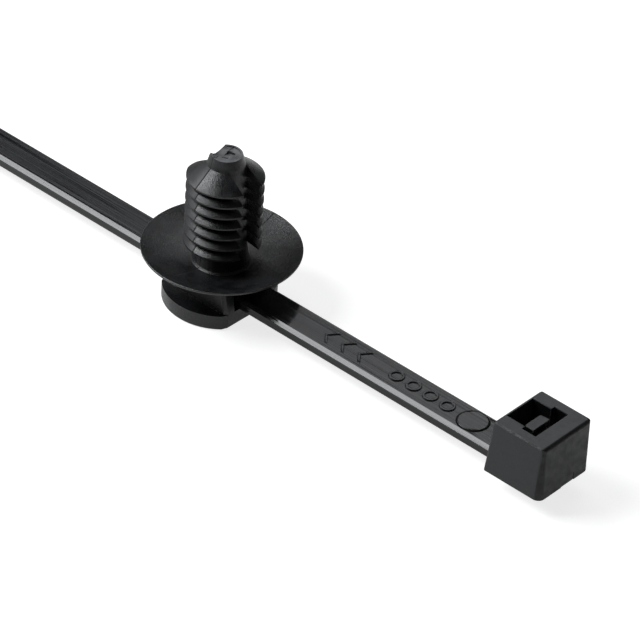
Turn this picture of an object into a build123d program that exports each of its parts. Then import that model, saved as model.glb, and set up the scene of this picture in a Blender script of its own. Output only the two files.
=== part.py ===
from build123d import *
import os

# A fir tree cable tie in black nylon, in millimetres: a cable tie threaded through a fir tree mount.
# The origin is under the middle of the mount's foot, +X runs along the strap to the head, +Z up the stud.

# Strap of the tie
strap_width = 4.6
strap_thickness = 1.3
strap_bevel_width = 0.42
strap_bevel_height = 0.34
strap_bottom_radius = 0.12
head_reach = 42.0
tail_reach = 105.35
tail_taper = 14.0
tail_tip_width = 2.2
tail_tip_thickness = 0.75

# Teeth in the channel under the strap
tooth_pitch = 1.15
tooth_depth = 0.5
tooth_crest_depth = 0.1
rail_width = 0.8
teeth_from_head = 13.0
teeth_from_tip = 17.0

# Round ejector pad on top of the strap
pad_diameter = 3.5
pad_height = 0.1
pad_from_head = 5.0

# Head of the tie, narrower at the top
head_height = 6.55
head_foot_length = 7.65
head_foot_width = 8.35
head_top_length = 6.85
head_top_width = 7.85
head_lean = 0.55
head_foot_end_radius = 0.85
head_top_end_radius = 0.5
head_strap_side_radius = 0.3
head_top_chamfer = 0.13
head_round_over = 0.5

# Window through the head: the strap's passage and the pawl's room beside it
passage_gap = 0.56
passage_side_gap = 0.4
window_length = 4.34
window_end_wall = 2.24
pawl_room_width = 4.3
pawl_room_floor = 1.2
lead_in_height = 0.8
lead_in_flare = 0.4
gate_recess_width = 2.1
gate_recess_height = 1.0
gate_recess_depth = 0.07
gate_recess_offset = 0.5

# Pawl hinged on the strap side of the window
pawl_side_gap = 0.15
pawl_bite = 0.5
pawl_top_length = 1.15
pawl_corner_radius = 0.3
pawl_top_drop = 0.7
pawl_tooth_count = 3
pawl_tooth_depth = 0.35
pawl_belly = 1.7
hinge_height = 1.55
hinge_thickness = 0.6

# Foot and saddle of the mount
foot_radius = 6.5
foot_half_length = 4.95
foot_thickness = 1.9
foot_edge = 0.2
slot_side_gap = 0.2
slot_height_gap = 0.15
slot_mouth_flare = 0.35
cheek_thickness = 1.7
roof_thickness = 1.4
saddle_top_half_length = 3.55
corner_chamfer = 0.4

# Dish that presses on the panel
dish_radius = 9.07
dish_rise = 2.06
dish_centre_thickness = 0.9
dish_rim_thickness = 0.3
dish_rim_chamfer = 0.08

# Fir tree stud
neck_radius = 3.1
neck_root_radius = 3.4
neck_root_height = 0.5
neck_height = 2.85
core_bottom_radius = 2.7
nose_radius = 2.15
nose_top_radius = 1.78
nose_height = 1.25
rib_radius = 4.35
rib_count = 6
rib_pitch = 1.4
rib_underside_rise = 0.35
rib_root_height = 1.1
rib_lip = 0.2
rib_bevel_width = 0.5
rib_bevel_height = 0.48
cone_height = 1.6
stud_slot_tail_width = 1.8
stud_slot_head_width = 3.0
row_corner_radius = 0.75

# Cup in the nose
cup_radius = 1.55
cup_depth = 0.15
notch_width = 2.4
notch_depth = 1.05
notch_tilt = 23.0
pocket_length = 1.2
pocket_width = 0.5
pocket_spacing = 1.1
pocket_depth = 0.8

# Heights and places that follow from the sizes above
strap_base = foot_thickness + slot_height_gap
strap_top = strap_base + strap_thickness
slot_width = strap_width + 2 * slot_side_gap
slot_height = strap_thickness + 2 * slot_height_gap
saddle_width = slot_width + 2 * cheek_thickness
dish_centre = foot_thickness + slot_height + roof_thickness
first_rib = dish_centre + neck_height
cone_base = first_rib + rib_count * rib_pitch
cone_top = cone_base + rib_lip + cone_height
nose_top = cone_top + nose_height
head_top = strap_base + head_height
head_top_start = head_reach + head_lean
head_top_end = head_top_start + head_top_length
window_end = head_top_end - window_end_wall
passage_start = window_end - strap_thickness - passage_gap
room_start = window_end - window_length
channel_width = strap_width - 2 * rail_width


def prism(points, width, centre=0.0):
    """A side outline in X and Z, extruded across the strap."""
    outline = make_face(Polyline(*[(x, 0, z) for x, z in points], close=True))
    return Pos(0, centre, 0) * extrude(outline, amount=width / 2, dir=(0, 1, 0), both=True)


def slab(x_start, x_end, width, z_start, z_end):
    """A block centred across the strap."""
    outline = [(x_start, z_start), (x_end, z_start), (x_end, z_end), (x_start, z_end)]
    return prism(outline, width)


def strap_band():
    """The strap's section, bevelled above, run from inside the head to the tail's tip."""
    half, rise = strap_width / 2, strap_thickness / 2
    section = make_face(Polyline((-half, -rise), (half, -rise), (half, rise - strap_bevel_height),
                                 (half - strap_bevel_width, rise), (strap_bevel_width - half, rise),
                                 (-half, rise - strap_bevel_height), close=True))
    section = fillet(section.vertices().group_by(Axis.Y)[0], strap_bottom_radius)
    middle = strap_base + strap_thickness / 2
    plane = Plane(origin=(-tail_reach, 0, middle), x_dir=(0, 1, 0), z_dir=(1, 0, 0))
    return extrude(plane * section, tail_reach + room_start)


def tail_outline():
    """The strap's plan, tapered to a round tip."""
    tip_centre = -tail_reach + tail_tip_width / 2
    taper_start = -tail_reach + tail_taper
    half, tip_half = strap_width / 2, tail_tip_width / 2
    plan = make_face(Polyline((room_start, half), (taper_start, half), (tip_centre, tip_half),
                              (tip_centre, -tip_half), (taper_start, -half), (room_start, -half),
                              close=True))
    plan += Pos(tip_centre, 0) * Circle(tip_half)
    return extrude(Pos(0, 0, strap_base) * plan, strap_thickness)


def tail_profile():
    """The strap's side view, thinned from above towards the tip."""
    taper_start = -tail_reach + tail_taper
    return prism([(room_start, strap_base), (room_start, strap_top), (taper_start, strap_top),
                  (-tail_reach, strap_base + tail_tip_thickness), (-tail_reach, strap_base)],
                 strap_width)


def tooth_notches():
    """Sawtooth channel in the underside; each tooth's steep side faces the head."""
    start = -tail_reach + teeth_from_tip
    count = int((head_reach - teeth_from_head - start) / tooth_pitch)
    outline = [(start, strap_base - tooth_depth)]
    for tooth in range(count):
        foot = start + tooth * tooth_pitch
        outline.append((foot, strap_base + tooth_depth))
        outline.append((foot + tooth_pitch, strap_base + tooth_crest_depth))
    outline.append((start + count * tooth_pitch, strap_base - tooth_depth))
    return prism(outline, channel_width)


def ejector_pad():
    """Low round pad that the moulding tool leaves near the head."""
    pad = Cylinder(pad_diameter / 2, 2 * pad_height)
    return Pos(head_reach - pad_from_head, 0, strap_top) * pad


def strap():
    """The toothed strap with its tapered tail."""
    band = strap_band() & tail_outline() & tail_profile()
    return band - tooth_notches() + ejector_pad()


def head_section(x_start, length, width, end_radius):
    """Plan of the head at one height, rounder at its free end."""
    plan = Pos(x_start + length / 2, 0) * Rectangle(length, width)
    plan = fillet(plan.vertices().group_by(Axis.X)[-1], end_radius)
    return fillet(plan.vertices().group_by(Axis.X)[0], head_strap_side_radius)


def round_over():
    """What the free end's top edge loses to its rounding."""
    end_lean = (head_reach + head_foot_length - head_top_end) / head_height
    corner = head_top_end + end_lean * head_round_over
    start, low = corner - head_round_over, head_top - head_round_over
    block = slab(start, corner + 1, 2 * head_foot_width, low, head_top + 1)
    return block - Pos(start, 0, low) * Rot(90, 0, 0) * Cylinder(head_round_over, 3 * head_foot_width)


def head_shell():
    """The tapered head before its window is cut."""
    foot = head_section(head_reach, head_foot_length, head_foot_width, head_foot_end_radius)
    top = head_section(head_top_start, head_top_length, head_top_width, head_top_end_radius)
    shell = loft([Pos(0, 0, strap_base) * foot, Pos(0, 0, head_top) * top])
    shell = chamfer(shell.faces().sort_by(Axis.Z)[-1].edges(), head_top_chamfer)
    return shell - round_over()


def window():
    """Strap passage with a flared entry below, and the pawl's room open at the top."""
    passage_width = strap_width + 2 * passage_side_gap
    low, high = strap_base - 1, head_top + 1
    passage = slab(passage_start, window_end, passage_width, low, high)
    lead_in = prism([(passage_start - lead_in_flare, strap_base), (window_end + lead_in_flare, strap_base),
                     (window_end, strap_base + lead_in_height), (passage_start, strap_base + lead_in_height)],
                    passage_width)
    room = slab(room_start, passage_start, pawl_room_width, strap_base + pawl_room_floor, high)
    return passage + lead_in + room


def pawl():
    """Springy pawl: a thin hinge on the strap side and three teeth that face the passage."""
    crest = passage_start + pawl_bite
    top = head_top - pawl_top_drop
    hinge = strap_base + hinge_height
    outline = [(room_start - 0.2, hinge), (room_start + 0.9, hinge + 0.1),
               (crest - pawl_belly, hinge + 0.3), (crest - pawl_tooth_depth - 0.1, top - 3.9)]
    for tooth in range(pawl_tooth_count, 0, -1):
        ledge = top - (tooth - 1) * tooth_pitch
        outline.append((crest, ledge))
        if tooth > 1:
            outline.append((crest - pawl_tooth_depth, ledge))
    outline += [(crest - pawl_top_length, top), (crest - pawl_belly, hinge + 1.4),
                (room_start + 0.8, hinge + hinge_thickness + 0.1), (room_start - 0.2, hinge + hinge_thickness)]
    body = prism(outline, channel_width - 2 * pawl_side_gap)
    back = body.edges().filter_by_position(Axis.X, crest - pawl_belly, crest - pawl_top_length, (False, False))
    return fillet(back, pawl_corner_radius)


def gate_recess():
    """Shallow recess at the foot of the head's end face, where the part was gated."""
    end = head_reach + head_foot_length
    recess = slab(end - gate_recess_depth, end + 1, gate_recess_width,
                  strap_base - 1, strap_base + gate_recess_height)
    return Pos(0, gate_recess_offset, 0) * recess


def cable_tie():
    """Strap, head and pawl, moulded as one piece."""
    head = head_shell() - window() - gate_recess() + pawl()
    return strap() + head


def foot():
    """Round foot with two flats across the strap."""
    plan = Circle(foot_radius) & Rectangle(2 * foot_half_length, 4 * foot_radius)
    plan = chamfer(plan.vertices(), corner_chamfer)
    plate = extrude(plan, foot_thickness)
    return chamfer(plate.faces().sort_by(Axis.Z)[0].edges(), foot_edge)


def saddle():
    """Block that carries the strap, its ends leaning back as they rise."""
    sections = []
    dish_rim = dish_centre + dish_rise
    for half_length, height in ((foot_half_length, foot_thickness), (saddle_top_half_length, dish_rim)):
        plan = chamfer(Rectangle(2 * half_length, saddle_width).vertices(), corner_chamfer)
        sections.append(Pos(0, 0, height) * plan)
    return loft(sections) - above_dish()


def strap_slot():
    """Way through the saddle for the strap, flared at both mouths."""
    slot = slab(-2 * foot_radius, 2 * foot_radius, slot_width, foot_thickness, foot_thickness + slot_height)
    for side in (-1, 1):
        inner, outer = side * (foot_half_length - 2 * slot_mouth_flare), side * foot_half_length
        mouth = []
        for x, flare in ((inner, 0), (outer, slot_mouth_flare)):
            middle = foot_thickness + (slot_height + flare) / 2
            plane = Plane(origin=(x, 0, middle), x_dir=(0, 1, 0), z_dir=(1, 0, 0))
            mouth.append(plane * Rectangle(slot_width + 2 * flare, slot_height + flare))
        slot += loft(mouth if side > 0 else mouth[::-1])
    return slot


def axis_arc(start, end):
    """Arc between two points of radius and height, its centre on the stud's axis."""
    (inner, low), (outer, high) = start, end
    centre = (outer**2 + high**2 - inner**2 - low**2) / (2 * (high - low))
    sphere = (inner**2 + (low - centre) ** 2) ** 0.5
    middle = (inner + outer) / 2
    side = 1 if low > centre else -1
    height = centre + side * (sphere**2 - middle**2) ** 0.5
    return ThreePointArc((inner, 0, low), (middle, 0, height), (outer, 0, high))


def above_dish():
    """The space above the middle of the dish's wall."""
    start = dish_centre - dish_centre_thickness / 2
    rim = dish_centre + dish_rise
    lid = Polyline((dish_radius, 0, rim), (dish_radius, 0, rim + 1), (0, 0, rim + 1), (0, 0, start))
    section = make_face(axis_arc((0, start), (dish_radius, rim)) + lid)
    return revolve(section, Axis.Z, 360)


def dish_section():
    """Half section of the thin springy dish, its rim above its middle."""
    underside = dish_centre - dish_centre_thickness
    rim = dish_centre + dish_rise
    profile = axis_arc((0, dish_centre), (dish_radius, rim))
    profile += axis_arc((0, underside), (dish_radius, rim - dish_rim_thickness))
    profile += Line((0, 0, dish_centre), (0, 0, underside))
    profile += Line((dish_radius, 0, rim), (dish_radius, 0, rim - dish_rim_thickness))
    section = make_face(profile)
    return chamfer(section.vertices().sort_by(Axis.X)[-2:], dish_rim_chamfer)


def core_radius(height):
    """Radius of the stud's core, which narrows from the first rib to the nose."""
    share = (height - first_rib) / (cone_top - first_rib)
    return core_bottom_radius + share * (nose_radius - core_bottom_radius)


def neck_outline():
    """From the axis inside the dish, up the neck's chamfered root to its shoulder under the first rib."""
    inside = dish_centre - dish_centre_thickness / 2
    return Polyline((0, 0, inside), (neck_root_radius, 0, inside),
                    (neck_root_radius, 0, dish_centre + neck_root_height - neck_root_radius + neck_radius),
                    (neck_radius, 0, dish_centre + neck_root_height),
                    (core_radius(first_rib + rib_underside_rise), 0, first_rib + rib_underside_rise))


def rib_outline(base):
    """One rib from its underside up to the next: a plate that dips outwards, with a thin lip."""
    under, lip, over = base + rib_underside_rise, base + rib_lip, base + rib_lip + rib_bevel_height
    root, next_under = base + rib_root_height, base + rib_pitch + rib_underside_rise
    shoulder = rib_radius - rib_bevel_width
    outline = axis_arc((core_radius(under), under), (rib_radius, base))
    outline += Line((rib_radius, 0, base), (rib_radius, 0, lip))
    outline += axis_arc((rib_radius, lip), (shoulder, over))
    outline += axis_arc((shoulder, over), (core_radius(root), root))
    return outline + Line((core_radius(root), 0, root), (core_radius(next_under), 0, next_under))


def cone_outline():
    """The last rib's underside, the cone above it and the tapered nose."""
    under = cone_base + rib_underside_rise
    outline = axis_arc((core_radius(under), under), (rib_radius, cone_base))
    return outline + Polyline((rib_radius, 0, cone_base), (rib_radius, 0, cone_base + rib_lip),
                              (nose_radius, 0, cone_top), (nose_top_radius, 0, nose_top),
                              (0, 0, nose_top), (0, 0, dish_centre - dish_centre_thickness / 2))


def stud_section():
    """Half section of the neck, ribs, cone and nose."""
    outline = neck_outline()
    for rib in range(rib_count):
        outline += rib_outline(first_rib + rib * rib_pitch)
    return make_face(outline + cone_outline())


def row_plan():
    """Plan of the two rows of ribs, parted by a slot that widens towards the head."""
    tail_half, head_half = stud_slot_tail_width / 2, stud_slot_head_width / 2
    slot = Polyline((-rib_radius, tail_half), (rib_radius, head_half),
                    (rib_radius, -head_half), (-rib_radius, -tail_half), close=True)
    rows = Circle(rib_radius) - make_face(slot)
    return fillet(rows.vertices().group_by(Axis.X)[0], row_corner_radius)


def stud_slots():
    """All that the two rows of ribs leave free round the core."""
    height = cone_top - first_rib
    free = extrude(Circle(2 * rib_radius) - row_plan(), height)
    return Pos(0, 0, first_rib) * (free - Pos(0, 0, height / 2) * Cone(core_bottom_radius, nose_radius, height))


def nose_cup():
    """Shallow cup in the nose, dipping to a notch on the tail's side, with two pockets beside a ridge."""
    cup = Pos(0, 0, nose_top) * Cylinder(cup_radius, 2 * cup_depth)
    notch_radius = notch_width**2 / (8 * notch_depth) + notch_depth / 2
    notch = Rot(0, 90 - notch_tilt, 0) * Cylinder(notch_radius, 3 * nose_top_radius)
    cup += Pos(-nose_top_radius, 0, nose_top - notch_depth + notch_radius) * notch
    for side in (-1, 1):
        pocket = Box(pocket_length, pocket_width, 2 * pocket_depth)
        cup += Pos(0, side * pocket_spacing / 2, nose_top) * pocket
    return cup


def dish_and_stud():
    """Dish and stud turned in one section, the ribs then cut into two rows and the nose cupped."""
    section = dish_section() + stud_section()
    return revolve(section, Axis.Z, 360) - stud_slots() - nose_cup()


def fir_tree_mount():
    """Foot, saddle, dish and stud, moulded as one piece."""
    return foot() + saddle() - strap_slot() + dish_and_stud()


os.makedirs("parts", exist_ok=True)
for name, piece in (("cable_tie", cable_tie()), ("fir_tree_mount", fir_tree_mount())):
    export_step(piece, os.path.join("parts", name + ".step"))
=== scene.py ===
"""Looks of a black nylon cable tie that is threaded through a fir tree mount."""

import math

import bmesh
import bpy
from bpy.props import FloatProperty, FloatVectorProperty, IntProperty, PointerProperty
from bpy.types import Operator, Panel, PropertyGroup
from mathutils import Matrix, Vector


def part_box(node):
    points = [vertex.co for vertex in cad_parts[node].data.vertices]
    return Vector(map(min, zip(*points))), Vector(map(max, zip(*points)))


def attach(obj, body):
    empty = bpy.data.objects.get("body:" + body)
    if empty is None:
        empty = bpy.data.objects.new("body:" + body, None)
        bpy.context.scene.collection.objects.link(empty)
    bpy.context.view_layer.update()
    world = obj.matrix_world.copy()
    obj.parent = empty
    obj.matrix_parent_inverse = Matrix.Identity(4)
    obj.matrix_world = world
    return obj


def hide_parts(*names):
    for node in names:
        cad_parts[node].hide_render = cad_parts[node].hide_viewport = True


bl_info = {
    "name": "Fir Tree Cable Tie",
    "version": (1, 0, 0),
    "blender": (4, 5, 0),
    "location": "3D Viewport > Sidebar > Cable Tie",
    "description": "Dresses a nylon cable tie and its fir tree mount, and sets a plain studio round them",
    "category": "Object",
}

MM = 0.001

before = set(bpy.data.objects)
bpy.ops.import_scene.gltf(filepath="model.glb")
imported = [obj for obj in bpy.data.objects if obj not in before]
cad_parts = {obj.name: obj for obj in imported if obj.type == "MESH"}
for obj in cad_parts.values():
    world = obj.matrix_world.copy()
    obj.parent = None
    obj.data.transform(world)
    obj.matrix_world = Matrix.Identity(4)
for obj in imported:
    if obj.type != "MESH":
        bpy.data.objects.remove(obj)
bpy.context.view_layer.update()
TIE_LOW, TIE_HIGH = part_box("cable_tie")
MOUNT_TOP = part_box("fir_tree_mount")[1][2]

# Places on the tie
HEAD_LENGTH = 7.65 * MM
HEAD_START = TIE_HIGH[0] - HEAD_LENGTH
WINDOW_MIDDLE = HEAD_START + 3.1 * MM
WINDOW_HALF_LENGTH = 2.25 * MM
WINDOW_HALF_WIDTH = 2.75 * MM
WINDOW_RIM = TIE_HIGH[2] - 0.12 * MM

# Places on the mount
SEAM_BOTTOM = 4.6 * MM
SPOKE_START = -4.2 * MM
DISH_MIDDLE = 6.1 * MM
DISH_HALF_HEIGHT = 1.1 * MM
STUD_BOTTOM = 7.5 * MM
# Band below the nose's top where pale colour is painted on as sheen, a painted highlight
SHEEN_BOTTOM = MOUNT_TOP - 1.2 * MM
SHEEN_TOP = MOUNT_TOP - 0.5 * MM
POCKET_FLOOR = MOUNT_TOP - 0.8 * MM
POCKET_REACH = 1.2 * MM

# Merging of a copied mesh
MERGE_DISTANCE = 0.0005 * MM
FLAT_ANGLE = math.radians(0.4)

# Depth that a full step of a material's height field stands for
GRAIN_DEPTH = 0.05 * MM


# Settings that a user would change

class EdgeSettings(PropertyGroup):
    tie_rounding: FloatProperty(
        name="Tie Edge Rounding",
        description="Rounding of the tie's moulded edges",
        default=0.07 * MM, min=0, unit="LENGTH", precision=5)
    mount_rounding: FloatProperty(
        name="Mount Edge Rounding",
        description="Rounding of the mount's moulded edges",
        default=0.05 * MM, min=0, unit="LENGTH", precision=5)
    segments: IntProperty(
        name="Segments", description="Steps in each rounded edge", default=2, min=1, max=4)
    sharp_angle: FloatProperty(
        name="Sharp Angle",
        description="Edges that turn by more than this are rounded",
        default=math.radians(24), subtype="ANGLE")
    pocket_depth: FloatProperty(
        name="Pocket Depth", description="Depth of the nose's pockets on the stud's axis",
        default=0.5 * MM, min=0, unit="LENGTH", precision=5)
    pocket_slope: FloatProperty(
        name="Pocket Slope", description="Rise of the pockets' floors towards the head", default=0.25)


class MarkSettings(PropertyGroup):
    strap_thickness: FloatProperty(
        name="Strap Thickness", description="Height of the strap's top above its underside",
        default=1.3 * MM, min=0, unit="LENGTH", precision=5)
    height: FloatProperty(
        name="Height", description="How far the marks stand above the strap",
        default=0.13 * MM, min=0, unit="LENGTH", precision=5)
    stroke: FloatProperty(
        name="Stroke", description="Width of a mark's stroke",
        default=0.36 * MM, min=0, unit="LENGTH", precision=5)
    pitch: FloatProperty(
        name="Pitch", description="Distance from one mark to the next",
        default=2.4 * MM, min=0, unit="LENGTH", precision=5)
    arrow_count: IntProperty(name="Arrows", description="Number of arrows", default=3, min=0)
    arrow_size: FloatProperty(
        name="Arrow Size", description="Width of an arrow across the strap",
        default=2.2 * MM, min=0, unit="LENGTH", precision=5)
    arrows_start: FloatProperty(
        name="Arrows Start", description="Distance of the first arrow from the mount's middle",
        default=16.2 * MM, unit="LENGTH", precision=5)
    ring_count: IntProperty(name="Rings", description="Number of rings", default=4, min=0)
    ring_size: FloatProperty(
        name="Ring Size", description="Outer diameter of a ring",
        default=1.87 * MM, min=0, unit="LENGTH", precision=5)
    rings_start: FloatProperty(
        name="Rings Start", description="Distance of the first ring from the mount's middle",
        default=26.2 * MM, unit="LENGTH", precision=5)
    pad_place: FloatProperty(
        name="Pad Place", description="Distance of the ejector pad from the mount's middle",
        default=37.0 * MM, unit="LENGTH", precision=5)
    pad_radius: FloatProperty(
        name="Pad Radius", description="Radius of the ejector pad's outline",
        default=1.75 * MM, unit="LENGTH", precision=5)


class NylonSettings(PropertyGroup):
    tie_colour: FloatVectorProperty(
        name="Tie Colour", description="Black nylon of the tie",
        subtype="COLOR", default=(0.0045, 0.0048, 0.0055), min=0, max=1)
    tie_pale: FloatVectorProperty(
        name="Tie Streak Colour", description="Paler flow streaks along the strap",
        subtype="COLOR", default=(0.016, 0.0168, 0.018), min=0, max=1)
    # Partly a cloudy haze, partly painted sheen that makes the head's up-facing faces lighter
    head_haze_and_sheen: FloatVectorProperty(
        name="Head Haze And Sheen", description="Pale cloudy haze on the head's flat faces",
        subtype="COLOR", default=(0.052, 0.055, 0.057), min=0, max=1)
    mount_colour: FloatVectorProperty(
        name="Mount Colour", description="Black nylon of the mount",
        subtype="COLOR", default=(0.0042, 0.0045, 0.0052), min=0, max=1)
    mount_speck: FloatVectorProperty(
        name="Mount Speck Colour", description="Pale specks in the mount's eroded grain",
        subtype="COLOR", default=(0.022, 0.023, 0.025), min=0, max=1)
    # Painted sheen: pale colour on the nose's up-facing top that stands in for the light it reflects
    nose_painted_sheen: FloatVectorProperty(
        name="Nose Painted Sheen", description="Pale painted sheen on the top of the stud's nose",
        subtype="COLOR", default=(0.12, 0.124, 0.13), min=0, max=1)
    # Paler colour along edges: partly rubbed wear, partly a painted edge highlight
    worn_and_glinting_edge: FloatVectorProperty(
        name="Worn And Glinting Edge", description="Paler nylon where an edge has been rubbed",
        subtype="COLOR", default=(0.05, 0.051, 0.053), min=0, max=1)
    # Painted shade: dark colour at the bottom of the mould's witness lines and of the pad's outline, where
    # shade falls in them
    line_shade: FloatVectorProperty(
        name="Line Shade", description="Dark bottom of the lines that the mould leaves",
        subtype="COLOR", default=(0.002, 0.002, 0.002), min=0, max=1)
    strap_roughness: FloatProperty(
        name="Strap Roughness", description="Roughness of the strap's polished top",
        default=0.09, min=0, max=1, subtype="FACTOR")
    head_roughness: FloatProperty(
        name="Head Roughness", description="Roughness of the satin head",
        default=0.5, min=0, max=1, subtype="FACTOR")
    mount_roughness: FloatProperty(
        name="Mount Roughness", description="Roughness of the matt mount",
        default=0.33, min=0, max=1, subtype="FACTOR")


class StudioSettings(PropertyGroup):
    azimuth: FloatProperty(
        name="Azimuth", description="Camera's turn round the object",
        default=math.radians(39.69), subtype="ANGLE")
    elevation: FloatProperty(
        name="Elevation", description="Camera's height above the horizon",
        default=math.radians(36.33), subtype="ANGLE")
    roll: FloatProperty(
        name="Roll", description="Camera's turn about its own axis",
        default=math.radians(4.37), subtype="ANGLE")
    distance: FloatProperty(
        name="Distance", description="Camera's distance from the point it aims at",
        default=400.6 * MM, unit="LENGTH")
    aim: FloatVectorProperty(
        name="Aim", description="Point that the camera aims at",
        default=(9.51 * MM, 6.49 * MM, -1.47 * MM), subtype="TRANSLATION", precision=5)
    lens: FloatProperty(
        name="Lens", description="Focal length in millimetres on a 36 mm sensor", default=201.36)
    key_place: FloatVectorProperty(
        name="Key Place", description="Middle of the soft light on the tail's near side",
        default=(-165 * MM, -126 * MM, 227 * MM), subtype="TRANSLATION")
    key_aim: FloatVectorProperty(
        name="Key Aim", description="Point that the key light is turned to",
        default=(0, 0, 5 * MM), subtype="TRANSLATION")
    key_size: FloatVectorProperty(
        name="Key Size", description="Width and height of the key light",
        size=2, default=(200 * MM, 150 * MM), min=0, unit="LENGTH")
    key_level: FloatProperty(
        name="Key Level", description="Power of the key light", default=1.04, min=0)
    back_place: FloatVectorProperty(
        name="Back Place", description="Middle of the large soft light behind the mount",
        default=(-193 * MM, 254 * MM, 374 * MM), subtype="TRANSLATION")
    back_aim: FloatVectorProperty(
        name="Back Aim", description="Point that the back light is turned to",
        default=(10 * MM, 0, 5 * MM), subtype="TRANSLATION")
    back_size: FloatVectorProperty(
        name="Back Size", description="Width and height of the back light",
        size=2, default=(470 * MM, 230 * MM), min=0, unit="LENGTH")
    back_level: FloatProperty(
        name="Back Level", description="Power of the back light", default=0.62, min=0)
    lamp_colour: FloatVectorProperty(
        name="Lamp Colour", description="Slightly cool white of both lights",
        subtype="COLOR", default=(0.97, 0.985, 1.0), min=0, max=1)
    world_level: FloatProperty(
        name="World Level", description="Strength of the even light from all round", default=0.05, min=0)
    floor_radius: FloatProperty(
        name="Floor Radius", description="Radius of the round floor", default=1.6, min=0, unit="LENGTH")
    floor_shade: FloatProperty(
        name="Floor Shade", description="Grey of the floor under the lamps",
        default=0.5, min=0, max=1, subtype="FACTOR")
    floor_lift: FloatProperty(
        name="Floor Lift", description="White added to the floor where it is seen",
        default=0.78, min=0, max=1, subtype="FACTOR")
    floor_gleam: FloatProperty(
        name="Floor Gleam", description="Share of that white which reflections show",
        default=0.5, min=0, max=1, subtype="FACTOR")


# Shader helpers

def add_node(tree, kind, **values):
    """A node whose attributes and inputs are set by name; an input's spaces are written as underscores."""
    node = tree.nodes.new(kind)
    for name, value in values.items():
        if hasattr(node, name):
            setattr(node, name, value)
        else:
            node.inputs[name.replace("_", " ")].default_value = value
    return node


def wire(tree, source, target):
    """Joins an output socket to an input socket."""
    tree.links.new(source, target)


def feed(tree, term, target):
    """Gives an input a number or joins a socket to it."""
    if isinstance(term, (int, float)):
        target.default_value = term
    else:
        wire(tree, term, target)


def calculate(tree, operation, *terms):
    """A math node's output; each term is a number or a socket."""
    node = add_node(tree, "ShaderNodeMath", operation=operation)
    for socket, term in zip(node.inputs, terms):
        feed(tree, term, socket)
    return node.outputs[0]


def product(tree, first, *others):
    """Several terms multiplied; each is a number or a socket."""
    for other in others:
        first = calculate(tree, "MULTIPLY", first, other)
    return first


def inverse(tree, mask):
    """The part that a mask leaves out."""
    return calculate(tree, "SUBTRACT", 1.0, mask)


def shifted(tree, value, shifts):
    """A value that changes by an amount where each mask is one."""
    for mask, amount in shifts:
        value = calculate(tree, "MULTIPLY_ADD", mask, amount, value)
    return value


def ramp(tree, value, low, high, out_low=0.0, out_high=1.0, smooth=False):
    """A map range node's output; the bounds are numbers or sockets."""
    node = add_node(tree, "ShaderNodeMapRange", interpolation_type="SMOOTHSTEP" if smooth else "LINEAR")
    wire(tree, value, node.inputs["Value"])
    for name, term in (("From Min", low), ("From Max", high), ("To Min", out_low), ("To Max", out_high)):
        feed(tree, term, node.inputs[name])
    return node.outputs["Result"]


def spread(tree, mask, middle, less, more):
    """A value that runs from a little under its middle to a little over it with a mask."""
    return ramp(tree, mask, 0.0, 1.0, middle - less, middle + more)


def near_line(tree, distance, width):
    """One on a line and none past its width; the distance has either sign."""
    return ramp(tree, calculate(tree, "ABSOLUTE", distance), width, 0.0, smooth=True)


def mix_value(tree, mask, first, second):
    """A value mixed by a mask from two sockets."""
    node = tree.nodes.new("ShaderNodeMix")
    for socket, term in zip(node.inputs[:1] + node.inputs[2:4], (mask, first, second)):
        wire(tree, term, socket)
    return node.outputs[0]


def layer_colours(tree, base, layers):
    """A base colour under layers, each a mask and the colour that it lays over the ones before."""
    for mask, colour in layers:
        node = add_node(tree, "ShaderNodeMix", data_type="RGBA")
        wire(tree, mask, node.inputs[0])
        if hasattr(base, "is_output"):
            wire(tree, base, node.inputs[6])
        else:
            node.inputs[6].default_value = (*base, 1.0)
        node.inputs[7].default_value = (*colour, 1.0)
        base = node.outputs[2]
    return base


def new_group(name, inputs, outputs):
    """An empty shader node group with named sockets, and its two ends."""
    group = bpy.data.node_groups.new(name, "ShaderNodeTree")
    for label, default in inputs:
        socket = group.interface.new_socket(name=label, in_out="INPUT", socket_type="NodeSocketFloat")
        socket.default_value = default
    for label in outputs:
        group.interface.new_socket(name=label, in_out="OUTPUT", socket_type="NodeSocketFloat")
    start = group.nodes.new("NodeGroupInput")
    end = group.nodes.new("NodeGroupOutput")
    return group, start.outputs, end.inputs


def object_position(tree):
    """The surface's place in the object's own frame."""
    return tree.nodes.new("ShaderNodeTexCoord").outputs["Object"]


def object_facing(tree):
    """The surface's direction in the object's own frame."""
    return tree.nodes.new("ShaderNodeTexCoord").outputs["Normal"]


def parts(tree, vector):
    """The three parts of a vector: along the strap, across it and up."""
    split = tree.nodes.new("ShaderNodeSeparateXYZ")
    wire(tree, vector, split.inputs[0])
    return split.outputs["X"], split.outputs["Y"], split.outputs["Z"]


def stretched_noise(tree, position, size_x, size_y, size_z, detail=2.0):
    """Noise whose grains have the given sizes along the three axes."""
    mapping = tree.nodes.new("ShaderNodeMapping")
    mapping.inputs["Scale"].default_value = (1 / size_x, 1 / size_y, 1 / size_z)
    wire(tree, position, mapping.inputs["Vector"])
    noise = add_node(tree, "ShaderNodeTexNoise", Scale=1.0, Detail=detail)
    wire(tree, mapping.outputs[0], noise.inputs["Vector"])
    return noise.outputs["Fac"]


def sized_noise(tree, position, size, detail=2.0):
    """Even noise whose grain size is a socket, in metres."""
    scaled = add_node(tree, "ShaderNodeVectorMath", operation="SCALE")
    wire(tree, position, scaled.inputs[0])
    wire(tree, calculate(tree, "DIVIDE", 1.0, size), scaled.inputs["Scale"])
    noise = add_node(tree, "ShaderNodeTexNoise", Scale=1.0, Detail=detail)
    wire(tree, scaled.outputs[0], noise.inputs["Vector"])
    return noise.outputs["Fac"]


# Shader node groups

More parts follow.
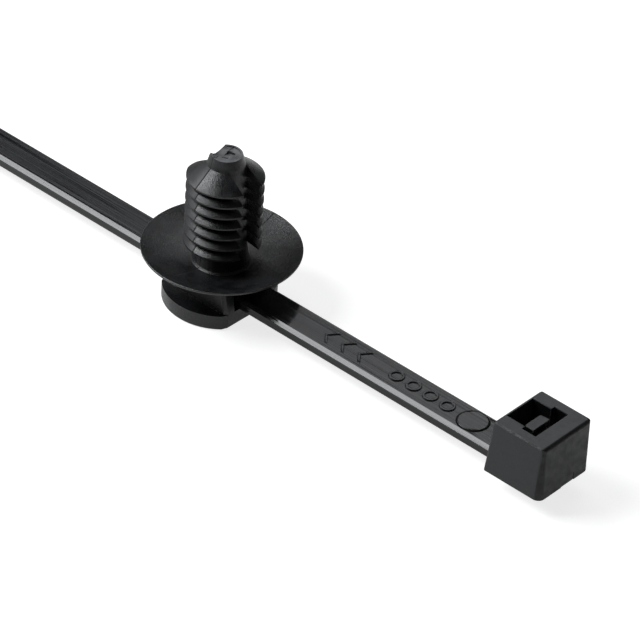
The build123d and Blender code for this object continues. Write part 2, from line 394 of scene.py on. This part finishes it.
def build_grain_group(name):
    """Eroded mould grain: a fine height, pale specks and slow cloudy changes."""
    group, start, end = new_group(
        name,
        (("Grain Size", 0.12 * MM), ("Cloud Size", 3.0 * MM), ("Speck Share", 0.3)),
        ("Height", "Specks", "Clouds"))
    position = object_position(group)
    fine = sized_noise(group, position, start["Grain Size"], 3.0)
    coarse = sized_noise(group, position, product(group, start["Grain Size"], 2.3), 1.0)
    wire(group, shifted(group, product(group, coarse, 0.15), [(fine, 0.85)]), end["Height"])
    threshold = calculate(group, "SUBTRACT", 0.72, product(group, start["Speck Share"], 0.3))
    specks = ramp(group, fine, threshold, calculate(group, "ADD", threshold, 0.12), smooth=True)
    wire(group, specks, end["Specks"])
    clouds = sized_noise(group, position, start["Cloud Size"])
    wire(group, ramp(group, clouds, 0.35, 0.65, smooth=True), end["Clouds"])
    return group


def build_streak_group(name):
    """Lines that the tool and the flow leave along the strap."""
    group, start, end = new_group(name, (("Strength", 1.0),), ("Height", "Tone"))
    position = object_position(group)
    fine = stretched_noise(group, position, 30 * MM, 0.14 * MM, 0.14 * MM, 1.0)
    broad = stretched_noise(group, position, 60 * MM, 0.6 * MM, 0.6 * MM, 1.0)
    mixed = shifted(group, product(group, broad, 0.4), [(fine, 0.6)])
    wire(group, product(group, mixed, start["Strength"]), end["Height"])
    tone = ramp(group, mixed, 0.4, 0.62, smooth=True)
    wire(group, product(group, tone, start["Strength"]), end["Tone"])
    return group


def build_edge_group(name):
    """Paler edges in broken patches, partly rubbed wear and partly painted highlight: a mask from the
    difference between true and rounded normals.
    """
    group, start, end = new_group(name, (("Width", 0.15 * MM), ("Patch Size", 0.6 * MM)), ("Mask",))
    bevel = add_node(group, "ShaderNodeBevel", samples=6)
    wire(group, start["Width"], bevel.inputs["Radius"])
    geometry = group.nodes.new("ShaderNodeNewGeometry")
    agreement = add_node(group, "ShaderNodeVectorMath", operation="DOT_PRODUCT")
    wire(group, bevel.outputs[0], agreement.inputs[0])
    wire(group, geometry.outputs["Normal"], agreement.inputs[1])
    turned = ramp(group, agreement.outputs["Value"], 0.995, 0.86, smooth=True)
    patches = sized_noise(group, object_position(group), start["Patch Size"], 3.0)
    broken = ramp(group, patches, 0.35, 0.62, smooth=True)
    wire(group, product(group, turned, broken), end["Mask"])
    return group


def build_face_group(name):
    """How squarely a surface faces along one of the axes, and how far it faces up."""
    group, start, end = new_group(name, (("Least", 0.95),), ("Mask", "Upward"))
    facing = parts(group, object_facing(group))
    sizes = [calculate(group, "ABSOLUTE", part) for part in facing]
    most = calculate(group, "MAXIMUM", sizes[0], calculate(group, "MAXIMUM", sizes[1], sizes[2]))
    wire(group, ramp(group, most, start["Least"], 0.99, smooth=True), end["Mask"])
    wire(group, ramp(group, facing[2], 0.5, 0.9, smooth=True), end["Upward"])
    return group


def build_ring_group(name):
    """A thin upright ring line round a point on the strap."""
    group, start, end = new_group(
        name,
        (("Place", 37.0 * MM), ("Radius", 1.75 * MM), ("Line Width", 0.14 * MM)),
        ("Line",))
    along, across, up = parts(group, object_position(group))
    along = calculate(group, "SUBTRACT", along, start["Place"])
    square = calculate(group, "MULTIPLY_ADD", across, across, product(group, along, along))
    away = calculate(group, "SUBTRACT", calculate(group, "SQRT", square), start["Radius"])
    wire(group, near_line(group, away, start["Line Width"]), end["Line"])
    return group


def build_parting_group(name):
    """Thin witness lines that the mould's halves leave on the mount, and the stud's half with less grain."""
    group, start, end = new_group(
        name,
        (("Line Width", 0.09 * MM), ("Seam Place", -0.4 * MM), ("Spoke Slope", 0.225)),
        ("Line", "Tail Half"))
    along, across, up = parts(group, object_position(group))
    from_seam = calculate(group, "SUBTRACT", along, start["Seam Place"])
    seam = product(group, near_line(group, from_seam, start["Line Width"]),
                   ramp(group, up, SEAM_BOTTOM, SEAM_BOTTOM + 0.1 * MM))
    slope = product(group, along, start["Spoke Slope"])
    spoke = product(group, near_line(group, calculate(group, "ADD", across, slope), start["Line Width"]),
                    calculate(group, "LESS_THAN", along, SPOKE_START),
                    calculate(group, "COMPARE", up, DISH_MIDDLE, DISH_HALF_HEIGHT))
    wire(group, calculate(group, "MAXIMUM", seam, spoke), end["Line"])
    half = product(group, ramp(group, from_seam, 0.02 * MM, -0.02 * MM),
                   ramp(group, up, STUD_BOTTOM, STUD_BOTTOM + 0.1 * MM))
    wire(group, half, end["Tail Half"])
    return group


# Materials

def new_material(name, ior, specular):
    """A material with a Principled shader, with its tree and that shader."""
    material = bpy.data.materials.new(name)
    material.use_nodes = True
    tree = material.node_tree
    tree.nodes.clear()
    shader = add_node(tree, "ShaderNodeBsdfPrincipled", IOR=ior, Specular_IOR_Level=specular)
    output = tree.nodes.new("ShaderNodeOutputMaterial")
    wire(tree, shader.outputs[0], output.inputs["Surface"])
    return material, tree, shader


def place_group(tree, name, build, **values):
    """The outputs of a shared group, built the first time; an input's spaces are written as underscores."""
    group = bpy.data.node_groups.get(name) or build(name)
    return add_node(tree, "ShaderNodeGroup", node_tree=group, **values).outputs


def add_relief(tree, shader, height):
    """Bends a shader's normals by a height field."""
    bump = add_node(tree, "ShaderNodeBump", Strength=1.0, Distance=GRAIN_DEPTH)
    wire(tree, height, bump.inputs["Height"])
    wire(tree, bump.outputs[0], shader.inputs["Normal"])


def window_mask(tree, position):
    """One on the walls inside the head's window, which the mould's core leaves polished and which are kept
    dark as painted shade.
    """
    along, across, up = position
    facing = parts(tree, object_facing(tree))
    return product(tree,
                   calculate(tree, "COMPARE", along, WINDOW_MIDDLE, WINDOW_HALF_LENGTH),
                   calculate(tree, "COMPARE", across, 0.0, WINDOW_HALF_WIDTH),
                   calculate(tree, "LESS_THAN", up, WINDOW_RIM),
                   calculate(tree, "LESS_THAN", facing[2], 0.5))


def build_tie_nylon(name, scene):
    """Polished strap with lengthwise streaks and a pad outline with painted shade, and a satin head with a
    fine grain, paler edges that are partly rubbed wear and partly painted highlight, and a pale haze with
    painted sheen on its up-facing faces.
    """
    nylon = scene.nylon_finish
    marks = scene.strap_marks
    material, tree, shader = new_material(name, 1.5, 0.4)
    streaks = place_group(tree, "Strap Streaks", build_streak_group)
    grain = place_group(tree, "Mould Grain", build_grain_group,
                        Grain_Size=0.1 * MM, Cloud_Size=0.9 * MM, Speck_Share=0.1)
    edges = place_group(tree, "Rubbed Edges", build_edge_group, Width=0.13 * MM, Patch_Size=0.5 * MM)
    faces = place_group(tree, "Square Faces", build_face_group)
    pad = place_group(tree, "Ring Line", build_ring_group, Place=marks.pad_place, Radius=marks.pad_radius)

    position = parts(tree, object_position(tree))
    head = ramp(tree, position[0], HEAD_START - 0.1 * MM, HEAD_START + 0.1 * MM)
    strap = inverse(tree, head)
    inside = window_mask(tree, position)
    streak_tone = product(tree, streaks["Tone"], strap)
    # Pale haze on the head's flat faces: a cloudy tone, with painted sheen that makes up-facing faces
    # lighter; left out on the window's walls, which stay dark as painted shade
    haze_and_sheen = product(tree, ramp(tree, grain["Clouds"], 0.0, 1.0, 0.55, 1.0), faces["Mask"], head,
                   inverse(tree, inside), ramp(tree, faces["Upward"], 0.0, 1.0, 0.62, 1.0))
    # Head's edges: paler colour that is partly rubbed wear and partly a painted highlight
    rubbed_and_glinting = product(tree, edges["Mask"], head)
    # Pad outline: a groove in the relief and rougher nylon, with painted shade as a dark colour in it
    pad_line = product(tree, pad["Line"], strap)

    colour = layer_colours(tree, nylon.tie_colour, [
        (streak_tone, nylon.tie_pale),
        (haze_and_sheen, nylon.head_haze_and_sheen),
        (rubbed_and_glinting, nylon.worn_and_glinting_edge),
        (pad_line, nylon.line_shade)])
    wire(tree, colour, shader.inputs["Base Color"])

    polished = spread(tree, streaks["Tone"], nylon.strap_roughness, 0.02, 0.13)
    satin = spread(tree, grain["Clouds"], nylon.head_roughness, 0.09, 0.08)
    satin = shifted(tree, satin, [(inside, -0.3)])
    roughness = mix_value(tree, head, polished, satin)
    wire(tree, shifted(tree, roughness, [(rubbed_and_glinting, -0.25), (pad_line, 0.5)]), shader.inputs["Roughness"])

    streak_height = product(tree, streaks["Height"], strap, 0.5)
    grain_height = product(tree, grain["Height"], head)
    add_relief(tree, shader, shifted(tree, streak_height, [(grain_height, 0.5), (pad_line, -1.5)]))
    return material


def build_mount_nylon(name, scene):
    """Matt nylon with eroded grain, pale specks, paler edges that are partly rubbed wear and partly painted
    highlight, painted sheen on the nose's top, and the mould's witness lines with painted shade in them.
    """
    nylon = scene.nylon_finish
    material, tree, shader = new_material(name, 1.5, 0.5)
    grain = place_group(tree, "Mould Grain", build_grain_group,
                        Grain_Size=0.13 * MM, Cloud_Size=1.6 * MM, Speck_Share=0.5)
    edges = place_group(tree, "Rubbed Edges", build_edge_group, Width=0.12 * MM, Patch_Size=0.45 * MM)
    faces = place_group(tree, "Square Faces", build_face_group)
    parting = place_group(tree, "Parting Lines", build_parting_group, Line_Width=0.1 * MM)

    grained = shifted(tree, 1.0, [(parting["Tail Half"], -0.7)])
    specks = product(tree, grain["Specks"], grained)
    up = parts(tree, object_position(tree))[2]
    # Painted sheen: the nose's up-facing top is made paler, patchy with the clouds, as a painted highlight
    painted_sheen = product(tree, ramp(tree, up, SHEEN_BOTTOM, SHEEN_TOP, smooth=True),
                      ramp(tree, faces["Upward"], 0.0, 1.0, 0.12, 1.0),
                      ramp(tree, grain["Clouds"], 0.0, 1.0, 0.45, 1.0))

    colour = layer_colours(tree, nylon.mount_colour, [
        (product(tree, grain["Clouds"], 0.25), nylon.mount_speck),
        (specks, nylon.mount_speck),
        # Mount's edges: paler colour that is partly rubbed wear and partly a painted highlight
        (product(tree, edges["Mask"], 0.8), nylon.worn_and_glinting_edge),
        (painted_sheen, nylon.nose_painted_sheen),
        # Witness lines: grooves in the relief, with painted shade as a dark colour in them
        (product(tree, parting["Line"], 0.9), nylon.line_shade)])
    wire(tree, colour, shader.inputs["Base Color"])

    roughness = spread(tree, grain["Clouds"], nylon.mount_roughness, 0.05, 0.08)
    roughness = shifted(tree, roughness, [
        (specks, -0.1),
        (parting["Tail Half"], 0.22),
        (parting["Line"], 0.5)])
    wire(tree, roughness, shader.inputs["Roughness"])

    fine = product(tree, grain["Height"], grained)
    add_relief(tree, shader, shifted(tree, fine, [(parting["Line"], -0.6)]))
    return material


def tie_nylon(scene):
    """The tie's material, built the first time it is asked for."""
    name = "streaked_tie_nylon"
    return bpy.data.materials.get(name) or build_tie_nylon(name, scene)


# Mesh helpers

def new_piece(name, shape, body, material):
    """Makes a finished bmesh an object at the origin that rides on a body."""
    mesh = bpy.data.meshes.new(name)
    shape.to_mesh(mesh)
    shape.free()
    mesh.materials.append(material)
    piece = bpy.data.objects.new(name, mesh)
    bpy.context.scene.collection.objects.link(piece)
    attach(piece, body)
    return piece


def merged_copy(node):
    """A copy of a CAD node's mesh with its doubles merged and its flat faces in few, even triangles."""
    shape = bmesh.new()
    shape.from_mesh(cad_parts[node].data)
    bmesh.ops.remove_doubles(shape, verts=shape.verts, dist=MERGE_DISTANCE)
    bmesh.ops.dissolve_limit(shape, angle_limit=FLAT_ANGLE, verts=shape.verts, edges=shape.edges)
    bmesh.ops.triangulate(shape, faces=shape.faces, quad_method="BEAUTY", ngon_method="BEAUTY")
    return shape


def shallow_pockets(shape, edges):
    """Lifts the floors of the nose's pockets to a shallow, sloping depth."""
    for vert in shape.verts:
        on_floor = abs(vert.co.z - POCKET_FLOOR) < 0.05 * MM
        if on_floor and vert.co.xy.length < POCKET_REACH:
            vert.co.z = MOUNT_TOP - edges.pocket_depth + edges.pocket_slope * vert.co.x


def soften(piece, rounding, edges):
    """Smooth shading up to the sharp angle, and a small rounding of the sharp edges."""
    piece.data.shade_smooth()
    piece.data.set_sharp_from_angle(angle=edges.sharp_angle)
    bevel = piece.modifiers.new("Moulded Edges", "BEVEL")
    bevel.width = rounding
    bevel.segments = edges.segments
    bevel.limit_method = "ANGLE"
    bevel.angle_limit = edges.sharp_angle
    bevel.use_clamp_overlap = True
    bevel.miter_outer = "MITER_ARC"
    normals = piece.modifiers.new("Flat Faces", "WEIGHTED_NORMAL")
    normals.keep_sharp = True


def raise_face(shape, faces, marks):
    """Raises faces from inside the strap to a mark's height and slopes their sides."""
    made = bmesh.ops.extrude_face_region(shape, geom=faces)
    verts = [item for item in made["geom"] if isinstance(item, bmesh.types.BMVert)]
    bmesh.ops.translate(shape, verts=verts, vec=(0, 0, 2 * marks.height))
    tops = [item for item in made["geom"] if isinstance(item, bmesh.types.BMFace)]
    rims = [edge for face in tops for edge in face.edges
            if sum(neighbour in tops for neighbour in edge.link_faces) == 1]
    bmesh.ops.bevel(shape, geom=rims, affect="EDGES", offset=marks.stroke * 0.25, segments=2,
                    profile=0.5, material=-1)


def add_arrow(shape, place, foot, marks):
    """One raised chevron that points to the tail, from a foot inside the strap."""
    half = marks.arrow_size / 2
    run = half * 0.8
    arm = marks.stroke * 1.25
    tip = place - run / 2
    outline = [(0, 0), (run, half), (run + arm, half), (arm, 0), (run + arm, -half), (run, -half)]
    corners = [shape.verts.new((tip + x, y, foot)) for x, y in outline]
    raise_face(shape, [shape.faces.new(corners)], marks)


def add_ring(shape, place, foot, marks):
    """One raised ring, from a foot inside the strap."""
    made = bmesh.ops.create_circle(shape, segments=32, radius=marks.ring_size / 2, cap_ends=True,
                                   matrix=Matrix.Translation((place, 0, foot)))
    disc = made["verts"][0].link_faces[0]
    inset = bmesh.ops.inset_individual(shape, faces=[disc], thickness=marks.stroke)
    bmesh.ops.delete(shape, geom=[disc], context="FACES_ONLY")
    raise_face(shape, inset["faces"], marks)


def add_marks(name, add_mark, count, start, scene):
    """A row of like marks on the strap as one piece of the tie."""
    marks = scene.strap_marks
    foot = TIE_LOW[2] + marks.strap_thickness - marks.height
    shape = bmesh.new()
    for index in range(count):
        add_mark(shape, start + index * marks.pitch, foot, marks)
    bmesh.ops.recalc_face_normals(shape, faces=shape.faces)
    new_piece(name, shape, "tie", tie_nylon(scene))


# Operators for the pieces

class TIE_OT_dress_tie(Operator):
    """Gives the tie softly rounded edges and its polished and satin nylon"""
    bl_idname = "fir_tree_tie.dress_tie"
    bl_label = "Dress Tie"
    bl_options = {"REGISTER", "UNDO"}

    def execute(self, context):
        edges = context.scene.moulded_edges
        material = tie_nylon(context.scene)
        piece = new_piece("tie_moulding", merged_copy("cable_tie"), "tie", material)
        soften(piece, edges.tie_rounding, edges)
        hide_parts("cable_tie")
        return {"FINISHED"}


class TIE_OT_dress_mount(Operator):
    """Gives the mount softly rounded edges and its matt grained nylon"""
    bl_idname = "fir_tree_tie.dress_mount"
    bl_label = "Dress Mount"
    bl_options = {"REGISTER", "UNDO"}

    def execute(self, context):
        edges = context.scene.moulded_edges
        material = build_mount_nylon("grained_mount_nylon", context.scene)
        shape = merged_copy("fir_tree_mount")
        shallow_pockets(shape, edges)
        piece = new_piece("mount_moulding", shape, "mount", material)
        soften(piece, edges.mount_rounding, edges)
        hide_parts("fir_tree_mount")
        return {"FINISHED"}


class TIE_OT_strap_marks(Operator):
    """Raises a row of arrows that point to the tail and a row of rings on the strap"""
    bl_idname = "fir_tree_tie.strap_marks"
    bl_label = "Strap Marks"
    bl_options = {"REGISTER", "UNDO"}

    def execute(self, context):
        marks = context.scene.strap_marks
        add_marks("strap_arrows", add_arrow, marks.arrow_count, marks.arrows_start, context.scene)
        add_marks("strap_rings", add_ring, marks.ring_count, marks.rings_start, context.scene)
        return {"FINISHED"}


# Studio

def build_floor_material(studio):
    """A pale floor that is white where it is seen, keeps shadows and is clear from below."""
    material = bpy.data.materials.new("studio_floor")
    material.use_nodes = True
    tree = material.node_tree
    tree.nodes.clear()
    shade = studio.floor_shade
    lit = add_node(tree, "ShaderNodeBsdfDiffuse", Color=(shade, shade, shade, 1))
    glow = add_node(tree, "ShaderNodeEmission", Color=(1, 1, 1, 1))
    path = tree.nodes.new("ShaderNodeLightPath")
    gleam = product(tree, path.outputs["Is Glossy Ray"], studio.floor_gleam)
    seen = calculate(tree, "MAXIMUM", path.outputs["Is Camera Ray"], gleam)
    seen = calculate(tree, "MAXIMUM", seen, path.outputs["Is Transmission Ray"])
    wire(tree, product(tree, seen, studio.floor_lift), glow.inputs["Strength"])
    pale = tree.nodes.new("ShaderNodeAddShader")
    wire(tree, lit.outputs[0], pale.inputs[0])
    wire(tree, glow.outputs[0], pale.inputs[1])
    clear = tree.nodes.new("ShaderNodeBsdfTransparent")
    geometry = tree.nodes.new("ShaderNodeNewGeometry")
    sides = tree.nodes.new("ShaderNodeMixShader")
    wire(tree, geometry.outputs["Backfacing"], sides.inputs[0])
    wire(tree, pale.outputs[0], sides.inputs[1])
    wire(tree, clear.outputs[0], sides.inputs[2])
    output = tree.nodes.new("ShaderNodeOutputMaterial")
    wire(tree, sides.outputs[0], output.inputs["Surface"])
    return material


def add_floor(studio):
    """A round floor under the object, facing up."""
    shape = bmesh.new()
    bmesh.ops.create_circle(shape, segments=64, radius=studio.floor_radius, cap_ends=True)
    bmesh.ops.recalc_face_normals(shape, faces=shape.faces)
    for face in shape.faces:
        if face.normal.z < 0:
            face.normal_flip()
    mesh = bpy.data.meshes.new("floor")
    shape.to_mesh(mesh)
    shape.free()
    mesh.materials.append(build_floor_material(studio))
    floor = bpy.data.objects.new("floor", mesh)
    bpy.context.scene.collection.objects.link(floor)


def add_softbox(name, place, aim, size, level, colour):
    """A rectangular soft light at one place, turned to another."""
    light = bpy.data.lights.new(name, "AREA")
    light.shape = "RECTANGLE"
    light.size, light.size_y = size
    light.energy = level
    light.color = colour
    lamp = bpy.data.objects.new(name, light)
    lamp.location = place
    lamp.rotation_mode = "QUATERNION"
    lamp.rotation_quaternion = (Vector(aim) - Vector(place)).to_track_quat("-Z", "Y")
    bpy.context.scene.collection.objects.link(lamp)


def light_world(studio):
    """An even white light from all round."""
    world = bpy.data.worlds.new("studio_world")
    world.use_nodes = True
    background = world.node_tree.nodes["Background"]
    background.inputs["Color"].default_value = (1, 1, 1, 1)
    background.inputs["Strength"].default_value = studio.world_level
    bpy.context.scene.world = world


def add_camera(studio):
    """A camera turned round the point it aims at."""
    view = bpy.data.cameras.new("camera")
    view.lens = studio.lens
    view.sensor_width = 36
    view.clip_start = 1 * MM
    view.clip_end = 10
    camera = bpy.data.objects.new("camera", view)
    bpy.context.scene.collection.objects.link(camera)
    turn = Matrix.Rotation(studio.azimuth, 4, "Z")
    turn = turn @ Matrix.Rotation(math.pi / 2 - studio.elevation, 4, "X")
    turn = turn @ Matrix.Rotation(studio.roll, 4, "Z")
    back = turn.to_3x3() @ Vector((0, 0, 1))
    camera.matrix_world = Matrix.Translation(Vector(studio.aim) + back * studio.distance) @ turn
    bpy.context.scene.camera = camera


class TIE_OT_studio(Operator):
    """Sets a pale floor, two soft lights, an even world and the camera"""
    bl_idname = "fir_tree_tie.studio"
    bl_label = "Studio"
    bl_options = {"REGISTER", "UNDO"}

    def execute(self, context):
        studio = context.scene.studio
        add_floor(studio)
        add_softbox("key_softbox", studio.key_place, studio.key_aim, studio.key_size,
                    studio.key_level, studio.lamp_colour)
        add_softbox("back_softbox", studio.back_place, studio.back_aim, studio.back_size,
                    studio.back_level, studio.lamp_colour)
        light_world(studio)
        add_camera(studio)
        context.scene.view_settings.view_transform = "Standard"
        return {"FINISHED"}


# Sidebar panel and registration

class TIE_PT_panel(Panel):
    """Lists the steps and the settings that they read"""
    bl_idname = "TIE_PT_panel"
    bl_label = "Cable Tie"
    bl_space_type = "VIEW_3D"
    bl_region_type = "UI"
    bl_category = "Cable Tie"

    def draw(self, context):
        layout = self.layout
        for operator in OPERATORS:
            layout.operator(operator.bl_idname)
        for name, group in SETTINGS:
            box = layout.box()
            settings = getattr(context.scene, name)
            for key in group.__annotations__:
                box.prop(settings, key)


SETTINGS = (("moulded_edges", EdgeSettings), ("strap_marks", MarkSettings),
            ("nylon_finish", NylonSettings), ("studio", StudioSettings))
OPERATORS = (TIE_OT_dress_tie, TIE_OT_dress_mount, TIE_OT_strap_marks, TIE_OT_studio)


def register():
    for name, group in SETTINGS:
        bpy.utils.register_class(group)
        setattr(bpy.types.Scene, name, PointerProperty(type=group))
    for operator in OPERATORS:
        bpy.utils.register_class(operator)
    bpy.utils.register_class(TIE_PT_panel)


def unregister():
    bpy.utils.unregister_class(TIE_PT_panel)
    for operator in reversed(OPERATORS):
        bpy.utils.unregister_class(operator)
    for name, group in reversed(SETTINGS):
        delattr(bpy.types.Scene, name)
        bpy.utils.unregister_class(group)


def main():
    register()
    bpy.ops.fir_tree_tie.dress_tie()
    bpy.ops.fir_tree_tie.dress_mount()
    bpy.ops.fir_tree_tie.strap_marks()
    bpy.ops.fir_tree_tie.studio()


if __name__ == "__main__":
    main()
